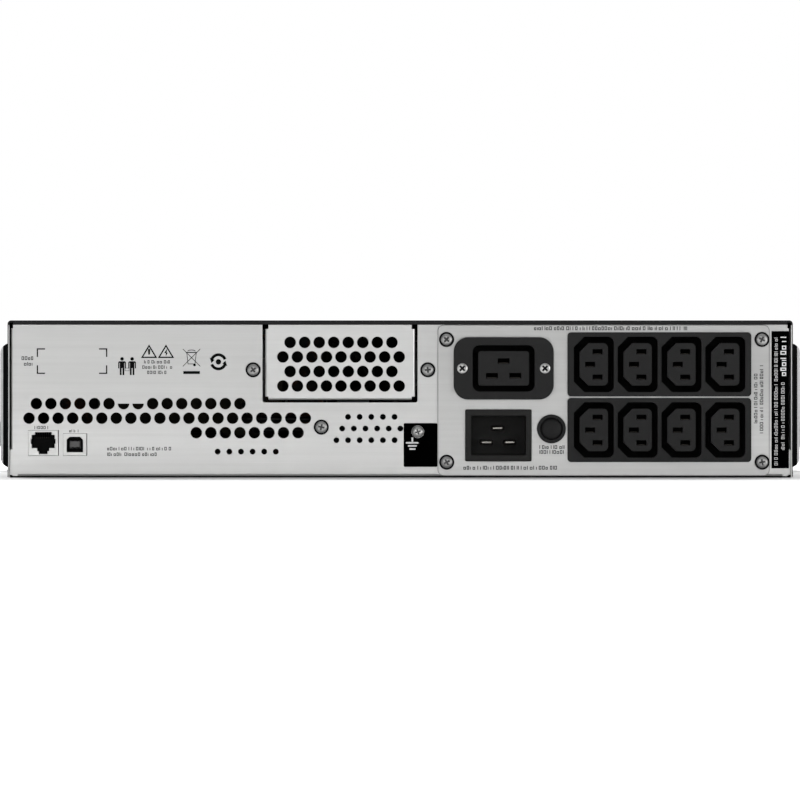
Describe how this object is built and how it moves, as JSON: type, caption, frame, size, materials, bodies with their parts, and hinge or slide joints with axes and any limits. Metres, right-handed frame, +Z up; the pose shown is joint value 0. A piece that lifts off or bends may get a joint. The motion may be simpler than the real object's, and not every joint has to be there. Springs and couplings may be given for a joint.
{
  "type": "rackmount ups",
  "caption": "Two-unit rackmount UPS: steel enclosure with rear outlets, inlet and vents, rack ears, fans, a removable front bezel and a pull-out battery drawer.",
  "frame": {"origin": "bottom centre of the unit's box, on the outside of the bottom pan", "axes": "+Z up, +Y towards the rear connector face, -Y towards the front bezel, +X to the right seen from the front"},
  "size_m": [0.4826, 0.66, 0.0865],
  "materials": {
    "black_paint": "black powder coat, fine texture",
    "zinc_sheet": "galvanised sheet, finely brushed across",
    "inner_steel": "plain galvanised sheet",
    "zinc_screw": "dull zinc-plated screws",
    "bright_screw": "bright nickel-plated screws",
    "black_screw": "blackened steel screws",
    "outlet_plastic": "moulded black nylon, fine grain",
    "breaker_plastic": "moulded black plastic",
    "label_black": "matt black printed foil",
    "brass": "stamped brass contacts",
    "contact_metal": "tarnished spring contacts deep in the sockets",
    "pin_metal": "nickel-plated blades",
    "port_metal": "plated connector shells, black inside",
    "board_green": "solder-masked circuit board",
    "sink_aluminium": "extruded aluminium",
    "capacitor_sleeve": "shrink sleeve",
    "relay_case": "smooth black case",
    "copper_wire": "enamelled copper wire",
    "core_iron": "laminated core steel",
    "coil_tape": "taped copper winding",
    "fan_black": "moulded black plastic",
    "plug_grey": "moulded grey plastic",
    "lead_black": "insulated wire",
    "lead_red": "insulated wire",
    "glide_nylon": "white nylon",
    "battery_case": "moulded battery case",
    "handle_steel": "plated steel wire with a plastic sleeve",
    "bezel_plastic": "moulded black plastic, fine grain",
    "window_smoke": "smoked polycarbonate",
    "key_grey": "moulded grey plastic"
  },
  "bodies": {
    "chassis": {"base_pan": "black_paint", "top_cover": "black_paint", "cover_screws": "black_screw", "rear_panel": "zinc_sheet", "front_frame": "inner_steel", "mid_bulkhead": "inner_steel", "drawer_glides": "glide_nylon", "ear_left": "black_paint", "ear_right": "black_paint", "ear_screws": "black_screw", "output_panel": "zinc_sheet", "panel_screws": "zinc_screw", "rear_screws": "zinc_screw", "slot_cover": "zinc_sheet", "slot_cage": "inner_steel", "ground_label": "label_black", "ground_screw": "zinc_screw", "side_label": "label_black", "high_current_outlet": "outlet_plastic", "flange_screws": "bright_screw", "power_inlet": "outlet_plastic", "inlet_pins": "pin_metal", "outlet_gang_upper": "outlet_plastic", "outlet_gang_lower": "outlet_plastic", "outlet_contacts": "contact_metal", "breaker_body": "breaker_plastic", "serial_port": "port_metal", "usb_port": "port_metal", "port_contacts": "contact_metal", "comm_board": "board_green", "main_board": "board_green", "heatsink_left": "sink_aluminium", "heatsink_right": "sink_aluminium", "capacitors": "capacitor_sleeve", "relays": "relay_case", "choke": "copper_wire", "transformer_core": "core_iron", "transformer_coil": "coil_tape", "transformer_clamp": "inner_steel", "fan_frames": "fan_black", "control_board": "board_green", "chassis_plug": "plug_grey", "power_leads": "lead_black"},
    "breaker_key": {"breaker_button": "breaker_plastic"},
    "rotor_left": {"fan_rotor_left": "fan_black"},
    "rotor_right": {"fan_rotor_right": "fan_black"},
    "drawer": {"battery_tray": "inner_steel", "drawer_front": "inner_steel", "batteries": "battery_case", "battery_terminals": "brass", "pack_connector": "plug_grey", "battery_leads": "lead_red"},
    "handle": {"drawer_handle": "handle_steel"},
    "thumb_left": {"thumbscrew_left": "zinc_screw"},
    "thumb_right": {"thumbscrew_right": "zinc_screw"},
    "bezel": {"bezel_shell": "bezel_plastic", "bezel_grille": "bezel_plastic", "display_window": "window_smoke"},
    "on_key": {"on_button": "key_grey"},
    "off_key": {"off_button": "key_grey"}
  },
  "joints": [
    {"name": "drawer_slide", "type": "slide", "parent": "chassis", "child": "drawer", "axis": [0, -1, 0], "range_m": [0, 0.24]},
    {"name": "bezel_pull", "type": "slide", "parent": "drawer", "child": "bezel", "axis": [0, -1, 0], "range_m": [0, 0.06]},
    {"name": "on_press", "type": "slide", "parent": "bezel", "child": "on_key", "axis": [0, 1, 0], "range_m": [0, 0.0015], "stiffness_N_per_m": 800, "springref_m": -0.001},
    {"name": "off_press", "type": "slide", "parent": "bezel", "child": "off_key", "axis": [0, 1, 0], "range_m": [0, 0.0015], "stiffness_N_per_m": 800, "springref_m": -0.001},
    {"name": "handle_swing", "type": "hinge", "parent": "drawer", "child": "handle", "pos_m": [0.0145, -0.2966, 0.056], "axis": [-1, 0, 0], "range_deg": [0, 90]},
    {"name": "thumb_left_turn", "type": "hinge", "parent": "drawer", "child": "thumb_left", "pos_m": [-0.1775, -0.2917, 0.06], "axis": [0, -1, 0], "continuous": true},
    {"name": "thumb_right_turn", "type": "hinge", "parent": "drawer", "child": "thumb_right", "pos_m": [0.2075, -0.2917, 0.06], "axis": [0, -1, 0], "continuous": true},
    {"name": "breaker_reset", "type": "slide", "parent": "chassis", "child": "breaker_key", "axis": [0, 1, 0], "range_m": [0, 0.004]},
    {"name": "fan_left_spin", "type": "hinge", "parent": "chassis", "child": "rotor_left", "pos_m": [-0.045, -0.01625, 0.04275], "axis": [0, 1, 0], "continuous": true},
    {"name": "fan_right_spin", "type": "hinge", "parent": "chassis", "child": "rotor_right", "pos_m": [0.055, -0.01625, 0.04275], "axis": [0, 1, 0], "continuous": true}
  ]
}
